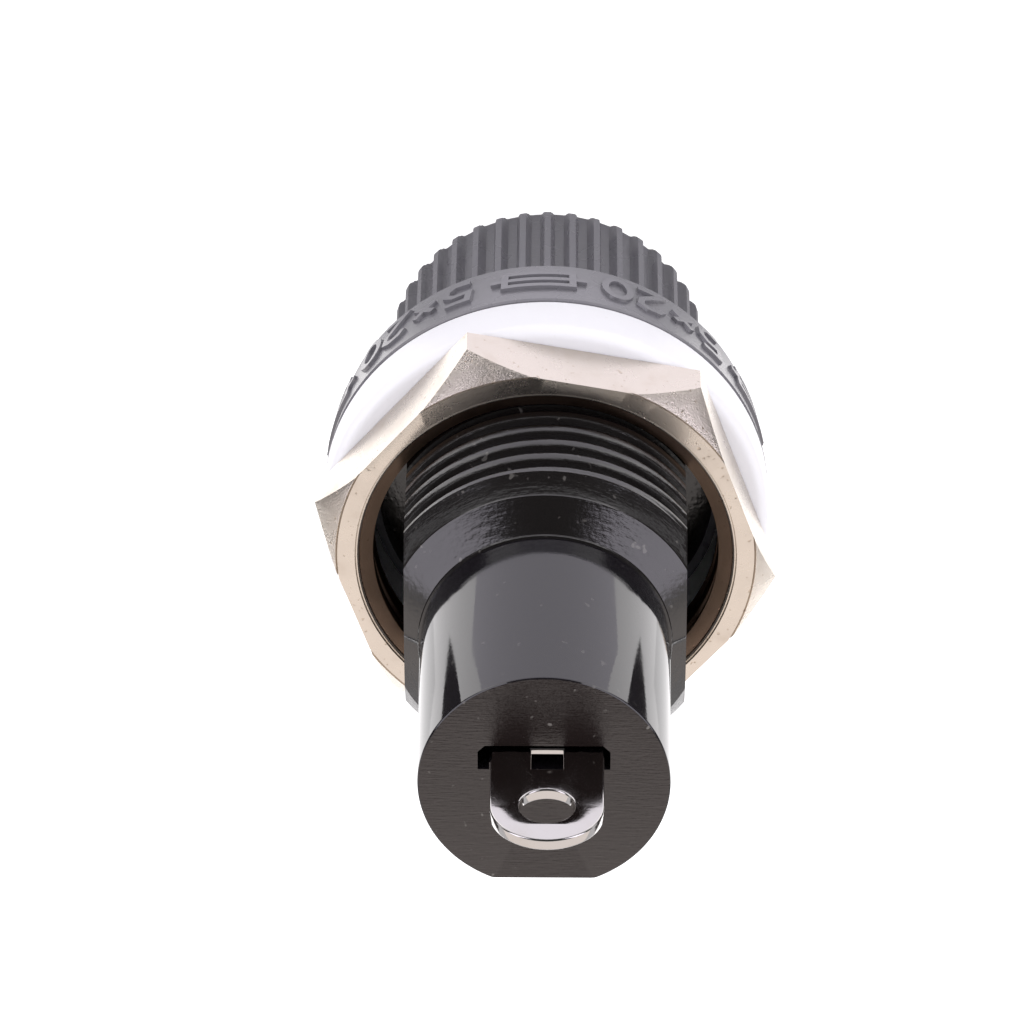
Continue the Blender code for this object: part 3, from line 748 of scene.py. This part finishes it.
class FUSE_HOLDER_OT_nut(bpy.types.Operator):
    """Thin hex nut with chamfered corners, a chamfered bore and its thread"""

    bl_idname = "fuse_holder.nut"
    bl_label = "Hex nut"

    def execute(self, context):
        s = context.scene.holder_nut
        pitch = context.scene.holder_housing.thread_pitch
        low, high = NUT_LOW.z, NUT_HIGH.z
        corner = s.across / 2 / math.cos(math.radians(30.0))
        bm = bmesh.new()
        bmesh.ops.create_cone(bm, cap_ends=True, segments=6, radius1=corner, radius2=corner,
                              depth=high - low)
        place = Matrix.Translation((0.0, 0.0, (low + high) / 2)) @ Matrix.Rotation(s.turn, 4, "Z")
        bmesh.ops.transform(bm, matrix=place, verts=bm.verts)
        nut = from_bmesh("nut_plated", bm)

        slope = (corner - s.face_radius) / (high - low - s.corner_height)
        wide = corner + slope * MM
        form = [(0.0, high), (s.face_radius, high), (wide, low + s.corner_height - MM),
                (wide, low - MM), (0.0, low - MM)]
        nut = carve(nut, [revolve("form", lambda turn: form, even_turns())], "INTERSECT")
        nut = bevelled(nut, s.edge)

        mouth = s.bore_radius + s.mouth
        bead = 0.09 * MM
        bevel = 0.3 * MM
        thread_fade = 0.2 * MM

        def bore(turn):
            points = [(0.0, high + MM), (mouth + bead, high + MM), (mouth + bead, high)]
            points += [(mouth + 0.6 * bead, high - 0.7 * bead), (mouth, high - 0.5 * bead)]
            points += [(mouth - 0.7 * bead, high - bead), (mouth - bead, high - 2 * bead)]
            points += thread_points(turn, high - s.mouth_depth, low + bevel, high, pitch,
                                    s.bore_radius, -s.thread_depth, thread_fade)
            points += [(s.bore_radius + bevel, low), (s.bore_radius + bevel, low - MM)]
            return points + [(0.0, low - MM)]

        score = 0.07 * MM
        line = [(s.face_radius - score, high + MM), (s.face_radius - score, high)]
        line += [(s.face_radius - 0.5 * score, high - 0.8 * score), (s.face_radius, high)]
        line += [(s.face_radius, high + MM), (s.face_radius - score, high + MM)]
        nut = carve(nut, [revolve("line", lambda turn: line, even_turns())])
        nut = carve(nut, [revolve("bore", bore, even_turns(THREAD_STEPS))])
        smooth(nut, 30.0)
        plate = metal("nickel plate", s.colour, s.stain, roughness=0.27, pits=0.6, bump=1e-5)
        # The faces inside the bore take a darker, browner plate than the nickel outside: painted
        # shade in the bore.
        shaded_bore = metal("bore of the nut", (0.38, 0.27, 0.20), (0.18, 0.11, 0.08), roughness=0.34,
                       pits=0.4, bump=1e-5)
        grain = metal("grainy corners", s.colour, s.stain, roughness=0.27, pits=0.9, bump=3e-5)
        finishes = (plate, shaded_bore, grain)
        dress(nut, "nut", finishes, ("hex_nut",))

        def choose(centre, normal):
            # Faces inside the bore get the darker plate, which is painted shade.
            if centre.xy.length < mouth - bead and centre.z < high - bead:
                return finishes.index(shaded_bore)
            chamfer = 0.2 < normal.z < 0.9 and centre.xy.length > s.face_radius
            return finishes.index(grain if chamfer else plate)

        paint_faces(nut, choose)
        return {"FINISHED"}


class FUSE_HOLDER_OT_knob(bpy.types.Operator):
    """Ribbed grip of the screw cap"""

    bl_idname = "fuse_holder.knob"
    bl_label = "Cap knob"

    def execute(self, context):
        s = context.scene.holder_cap
        radius = max(KNOB_HIGH.x, KNOB_HIGH.y)
        top = KNOB_HIGH.z
        cavity = FERRULE_HIGH.x + 0.15 * MM
        edge = radius - s.front_edge
        outer = [(radius - s.rear_edge, top)]
        outer += [(radius - 0.3 * s.rear_edge, top - 0.3 * s.rear_edge)]
        outer += [(radius, top - s.rear_edge)]
        outer += arc((edge, s.front_edge), s.front_edge, 0.0, -90.0, 6)
        steps_per_rib = 16

        def rib(turn):
            """Depth of the hollow at a share of a turn, zero on a rib's crest."""
            phase = (turn * s.rib_count) % 1.0
            away = abs(phase - 0.5) * 2.0
            hollow = min(max((1.0 - s.rib_share - away) / (1.0 - s.rib_share), 0.0), 1.0)
            return s.rib_depth * min(1.0, 1.6 * hollow ** 0.6)

        def column(turn):
            limit = radius - rib(turn)
            points = [(0.0, s.floor), (cavity, s.floor), (cavity, top)]
            points += [(min(r, limit), z) for r, z in outer]
            points += [(s.dish_radius + 0.05 * MM, 0.0), (s.dish_radius, 0.02 * MM)]
            points += [(s.dish_radius - s.dish_depth, s.dish_depth), (0.0, s.dish_depth)]
            return points

        knob = smooth(revolve("cap_grip", column, even_turns(s.rib_count * steps_per_rib)), 35.0)
        satin = plastic("satin knob", s.colour, roughness=0.27, flecks=0.3, bump=1e-5,
                        drag=((2500.0, 2500.0, 600.0), 0.4))
        dress(knob, "cap", (satin,), ("cap_knob",))
        return {"FINISHED"}


class FUSE_HOLDER_OT_contacts(bpy.types.Operator):
    """Brass ferrule and sleeve with their rolled threads, and the sprung fuse clip"""

    bl_idname = "fuse_holder.contacts"
    bl_label = "Contacts and spring"

    def execute(self, context):
        s = context.scene.holder_cap
        t = context.scene.holder_terminals
        pitch = context.scene.holder_housing.thread_pitch
        dull = tuple(0.6 * channel for channel in t.brass)
        brass = metal("drawn brass", t.brass, dull, roughness=0.24, pits=0.3, bump=8e-6,
                      drag=((900.0, 900.0, 6000.0), 0.3))
        self.ferrule(s, pitch, brass)
        self.sleeve(s, pitch, brass)
        steel = metal("spring wire", t.steel, (0.4, 0.38, 0.36), roughness=0.26, pits=0.3,
                      bump=6e-6)
        self.spring(s, steel)
        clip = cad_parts["fuse_clip"]
        coat(clip, metal("tinned clip", t.colour, (0.6, 0.57, 0.52), roughness=0.18, pits=0.3,
                         bump=6e-6))
        smooth(clip, 35.0)
        return {"FINISHED"}

    def spring(self, s, steel):
        """Coil between the cap's cup and the clip."""
        low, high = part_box("cap_spring")
        wire = s.spring_wire
        ring = high.x - wire
        span = high.z - low.z - 2 * wire
        steps, sides = 40, 12
        bm = bmesh.new()
        loops = []
        for step in range(s.spring_turns * steps + 1):
            turn = step / steps
            left = s.spring_turns - turn
            rise = s.spring_rise + (span - 2 * s.spring_rise) * (turn - 1) / (s.spring_turns - 2)
            if turn < 1.0:
                rise = s.spring_rise * turn
            elif left < 1.0:
                rise = span - s.spring_rise * left
            across, along = math.cos(math.tau * turn), math.sin(math.tau * turn)
            loop = []
            for x, y in arc((ring, low.z + wire + rise), wire, 0.0, 360.0, sides)[:-1]:
                loop.append(bm.verts.new((x * across, x * along, y)))
            loops.append(loop)
        for first, second in zip(loops, loops[1:]):
            for side in range(sides):
                other = (side + 1) % sides
                bm.faces.new((first[side], second[side], second[other], first[other]))
        bm.faces.new(loops[0])
        bm.faces.new(loops[-1])
        bmesh.ops.recalc_face_normals(bm, faces=bm.faces)
        coil = smooth(from_bmesh("spring_coil", bm), 40.0)
        dress(coil, "spring", (steel,), ("cap_spring",))
        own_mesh(coil)

    def ferrule(self, s, pitch, brass):
        """The cap's drawn cup, its mouth rolled in and its side rolled into a thread."""
        low, high, outer = FERRULE_LOW.z, FERRULE_HIGH.z, FERRULE_HIGH.x
        wall = 0.3 * MM
        inner = outer - wall
        lip = 3.1 * MM
        edge = 0.1 * MM
        mouth_edge = 0.12 * MM
        thread_high, thread_low, thread_fade = high - 0.5 * MM, low + 6.2 * MM, 0.3 * MM

        def column(turn):
            points = [(0.0, low + wall), (inner, low + wall), (inner, high - wall)]
            points += [(lip, high - wall), (lip, high - edge), (lip + edge, high)]
            points += [(outer - mouth_edge, high), (outer, high - mouth_edge)]
            points += thread_points(turn, thread_high, thread_low, high, pitch, outer,
                                    s.ferrule_thread, thread_fade)
            return points + [(outer, low + edge), (outer - edge, low), (0.0, low)]

        cup = smooth(revolve("ferrule_cup", column, even_turns(THREAD_STEPS)), 40.0)
        dress(cup, "cap", (brass,), ("cap_ferrule",))

    def sleeve(self, s, pitch, brass):
        """The front contact: a tube with a rim at its mouth and a thread inside."""
        low, high, rim = SLEEVE_LOW.z, SLEEVE_HIGH.z, SLEEVE_HIGH.x
        outer = rim - 0.45 * MM
        inner = outer - 0.35 * MM
        edge = 0.06 * MM
        step = low + 0.4 * MM
        thread_high, thread_low, thread_fade = high - 0.1 * MM, low + 0.3 * MM, 0.3 * MM

        def column(turn):
            points = [(inner, low), (rim - edge, low), (rim, low + edge)]
            points += [(rim, step - edge), (rim - edge, step)]
            points += [(outer, step), (outer, high), (inner, high)]
            points += thread_points(turn, thread_high, thread_low, high, pitch, inner,
                                    -s.ferrule_thread, thread_fade)
            return points + [(inner, low)]

        tube = smooth(revolve("sleeve_tube", column, even_turns(THREAD_STEPS)), 40.0)
        dress(tube, "holder_body", (brass,), ("contact_sleeve",))


class FUSE_HOLDER_OT_terminals(bpy.types.Operator):
    """Tinned solder tabs with rounded edges and an eye"""

    bl_idname = "fuse_holder.terminals"
    bl_label = "Solder tabs"

    def execute(self, context):
        s = context.scene.holder_terminals
        tin = metal("bright tin plate", s.colour, (0.43, 0.40, 0.37), roughness=0.09, pits=0.25,
                    bump=4e-6, drag=((2500.0, 2500.0, 500.0), 0.15))
        self.end_tab(s, tin)
        self.side_tab(s, tin)
        return {"FINISHED"}

    def blade(self, s, root, tip, shift, window=None):
        """Flat blade in the plane of X and height, with its eye and an optional window."""
        half = s.width / 2
        eye = tip - half
        loop = [(shift + half, root)]
        loop += [(shift + x, y) for x, y in arc((0.0, eye), half, 0.0, 180.0, 32)]
        loop += [(shift - half, root)]
        hole = [(shift + x, y) for x, y in arc((0.0, eye), s.hole_radius, 0.0, 360.0, 40)][:-1]
        loops = [loop, hole]
        if window:
            low, high = window
            side = s.window_width / 2
            loops.append([(shift - side, low), (shift + side, low), (shift + side, high),
                          (shift - side, high)])
        thickness = SIDE_HIGH.y - SIDE_LOW.y
        return flat_solid("blade", loops, thickness, s.edge), thickness

    def stand(self, piece, y):
        turn = Matrix.Rotation(math.radians(90.0), 4, "X")
        piece.data.transform(Matrix.Translation((0.0, y, 0.0)) @ turn)

    def finish(self, piece, name, node, tin):
        piece.name = name
        smooth(piece, 40.0)
        dress(piece, "holder_body", (tin,), (node,))

    def end_tab(self, s, tin):
        """The bent blade: leaning face, window at its root, lip under it and hidden foot."""
        end = HOUSING_HIGH.z
        tip = end + s.tab_length
        shift = (TAB_LOW.x + TAB_HIGH.x) / 2
        root = TAB_LOW.z + 0.35 * MM
        sunk = 0.3 * MM
        inset = 0.02 * MM
        window = (end - sunk, end + s.window_height)
        tab, thickness = self.blade(s, root, tip, shift, window)
        self.stand(tab, TAB_LOW.y + thickness / 2)
        lean = math.tan(s.tab_lean)
        for vertex in tab.data.vertices:
            vertex.co.y -= (tip - vertex.co.z) * lean
        low = TAB_LOW.z
        front = TAB_LOW.y - (tip - root) * lean
        foot = box_cutter((shift - s.width / 2 + s.edge, front + inset, low),
                          (shift + s.width / 2 - s.edge, TAB_HIGH.y, low + thickness))
        side = s.window_width / 2 + s.edge
        lip = box_cutter((shift - side, front + inset, end - sunk - inset),
                         (shift + side, front + sunk, end))
        lip = bevelled(lip, s.edge)
        tab = carve(tab, [foot, lip], "UNION")
        self.finish(tab, "solder_tab_end", "end_terminal", tin)

    def side_tab(self, s, tin):
        tab, thickness = self.blade(s, SIDE_LOW.z, SIDE_HIGH.z, 0.0)
        self.stand(tab, SIDE_LOW.y + thickness / 2)
        self.finish(tab, "solder_tab_side", "side_terminal", tin)


class FUSE_HOLDER_OT_stage(bpy.types.Operator):
    """Pale floor, soft studio lights, world and the photograph's camera"""

    bl_idname = "fuse_holder.stage"
    bl_label = "Stage"

    def execute(self, context):
        s = context.scene.holder_stage
        self.floor(s)
        self.world(context, s)
        self.lights(s)
        self.camera(context)
        context.scene.view_settings.view_transform = "Standard"
        return {"FINISHED"}

    def floor(self, s):
        half = s.floor_size / 2
        bm = bmesh.new()
        bmesh.ops.create_grid(bm, x_segments=1, y_segments=1, size=half)
        floor = from_bmesh("floor", bm)
        material, tree, shader = principled("pale floor", {
            "Base Color": (*s.floor_colour, 1.0), "Roughness": 0.9, "Specular IOR Level": 0.1,
            "Emission Color": (1.0, 1.0, 1.0, 1.0)})
        rays = tree.nodes.new("ShaderNodeLightPath")
        fill = maths(tree, "MULTIPLY", rays.outputs["Is Camera Ray"], s.floor_fill)
        tree.links.new(fill, shader.inputs["Emission Strength"])
        coat(floor, material)

    def world(self, context, s):
        world = bpy.data.worlds.new("studio")
        context.scene.world = world
        world.use_nodes = True
        tree = world.node_tree
        background = tree.nodes["Background"]
        rays = tree.nodes.new("ShaderNodeLightPath")
        coordinates = tree.nodes.new("ShaderNodeTexCoord")
        parts = tree.nodes.new("ShaderNodeSeparateXYZ")
        tree.links.new(coordinates.outputs["Generated"], parts.inputs["Vector"])
        mirrored = remap(tree, parts.outputs["Y"], 0.05, 0.35, s.dark_sky, s.rear_sky)
        soft = maths(tree, "MULTIPLY", rays.outputs["Is Diffuse Ray"], s.sky)
        gloss = maths(tree, "SUBTRACT", 1.0, rays.outputs["Is Diffuse Ray"])
        level = maths(tree, "ADD", soft, maths(tree, "MULTIPLY", gloss, mirrored))
        behind = maths(tree, "MULTIPLY", gloss, remap(tree, parts.outputs["Y"], 0.05, 0.35))
        tint = blend_colours(tree, behind, (1.0, 1.0, 1.0), tuple(s.rear_tint))
        tree.links.new(tint, background.inputs["Color"])
        level = maths(tree, "MAXIMUM", level, rays.outputs["Is Camera Ray"])
        tree.links.new(level, background.inputs["Strength"])

    def lights(self, s):
        """Two side softboxes, and bright cards with two black flags lying on the floor."""
        cool = (0.93, 0.89, 1.0)
        plain = (1.0, 0.975, 0.97)
        inner, middle, outer = 9.5, 20.5, 60.0
        near, front, rear, far = -79.0, -10.0, 7.0, 60.0
        for side in (-1, 1):
            box = self.lamp("side softbox", (0.538 * side, -0.251, 0.375), (0.81, 0.31),
                            s.side_light, cool)
            way = Vector((0.0, 0.0, 0.02)) - box.location
            box.rotation_euler = way.to_track_quat("-Z", "Y").to_euler()
            self.card("side card", side, (middle, outer), (near, far), s.side_card, plain)
            self.card("inner card", side, (inner, middle), (front, rear), s.side_card, plain)
            self.flag(side)
        self.card("front card", 1, (-middle, middle), (near, front), s.front_card,
                  (0.92, 0.86, 1.0))
        self.card("back card", 1, (-middle, middle), (rear, far), s.back_card, plain)

    def card(self, name, side, across, along, level, tint):
        """Bright card just above the floor, its reaches across and along in millimetres."""
        width, height = across[1] - across[0], along[1] - along[0]
        place = (side * sum(across) / 2 * MM, sum(along) / 2 * MM, 0.6 * MM)
        card = self.lamp(name, place, (width * MM, height * MM), level, tint)
        card.visible_diffuse = False

    def flag(self, side):
        """Black wedge over a side card that only the gloss of the holder mirrors."""
        corners = [(20.5, -0.7), (63.6, -79.5), (120.0, -79.5), (120.0, 60.3), (64.1, 60.3)]
        bm = bmesh.new()
        bm.faces.new([bm.verts.new((side * x * MM, y * MM, MM)) for x, y in corners])
        flag = from_bmesh("black flag", bm)
        felt = {"Base Color": (0.03, 0.027, 0.025, 1.0), "Roughness": 0.9}
        coat(flag, principled("black felt", felt)[0])
        flag.visible_camera = False
        flag.visible_diffuse = False
        flag.visible_shadow = False

    def lamp(self, name, place, dimensions, level, tint):
        """Area light that faces up and whose face shows at the given level."""
        width, height = dimensions
        lamp = bpy.data.lights.new(name, "AREA")
        lamp.shape = "RECTANGLE"
        lamp.size, lamp.size_y = width, height
        lamp.energy = level * math.pi * width * height
        lamp.color = tint
        box = linked(lamp, name)
        box.location = place
        box.rotation_euler = (math.pi, 0.0, 0.0)
        box.visible_camera = False
        return box

    def camera(self, context):
        """Long lens over the -Y side, rolled so that the terminals are at the picture's foot."""
        view = bpy.data.cameras.new("photograph view")
        view.sensor_width = 36.0
        view.lens = 223.285
        view.clip_start, view.clip_end = 0.01, 10.0
        camera = linked(view, "photograph view")
        camera.location = (-0.5016 * MM, -130.5113 * MM, 221.1442 * MM)
        camera.rotation_euler = [math.radians(angle) for angle in (-32.083, 0.5008, 180.0)]
        context.scene.camera = camera


OPERATORS = (
    FUSE_HOLDER_OT_housing,
    FUSE_HOLDER_OT_rim_marks,
    FUSE_HOLDER_OT_washer,
    FUSE_HOLDER_OT_nut,
    FUSE_HOLDER_OT_knob,
    FUSE_HOLDER_OT_contacts,
    FUSE_HOLDER_OT_terminals,
    FUSE_HOLDER_OT_stage,
)


class FUSE_HOLDER_PT_sidebar(bpy.types.Panel):
    """Lists the pieces of the fuse holder"""

    bl_idname = "FUSE_HOLDER_PT_sidebar"
    bl_label = "Fuse holder"
    bl_space_type = "VIEW_3D"
    bl_region_type = "UI"
    bl_category = "Fuse holder"

    def draw(self, context):
        for operator in OPERATORS:
            self.layout.operator(operator.bl_idname)
        for name in SETTINGS:
            box = self.layout.box()
            group = getattr(context.scene, name)
            for label in group.bl_rna.properties.keys():
                if label not in ("rna_type", "name"):
                    box.prop(group, label)


def register():
    for name, group in SETTINGS.items():
        bpy.utils.register_class(group)
        setattr(bpy.types.Scene, name, PointerProperty(type=group))
    for operator in OPERATORS:
        bpy.utils.register_class(operator)
    bpy.utils.register_class(FUSE_HOLDER_PT_sidebar)


def unregister():
    bpy.utils.unregister_class(FUSE_HOLDER_PT_sidebar)
    for operator in reversed(OPERATORS):
        bpy.utils.unregister_class(operator)
    for name, group in SETTINGS.items():
        delattr(bpy.types.Scene, name)
        bpy.utils.unregister_class(group)


def main():
    register()
    for operator in OPERATORS:
        group, name = operator.bl_idname.split(".")
        getattr(getattr(bpy.ops, group), name)()


if __name__ == "__main__":
    main()
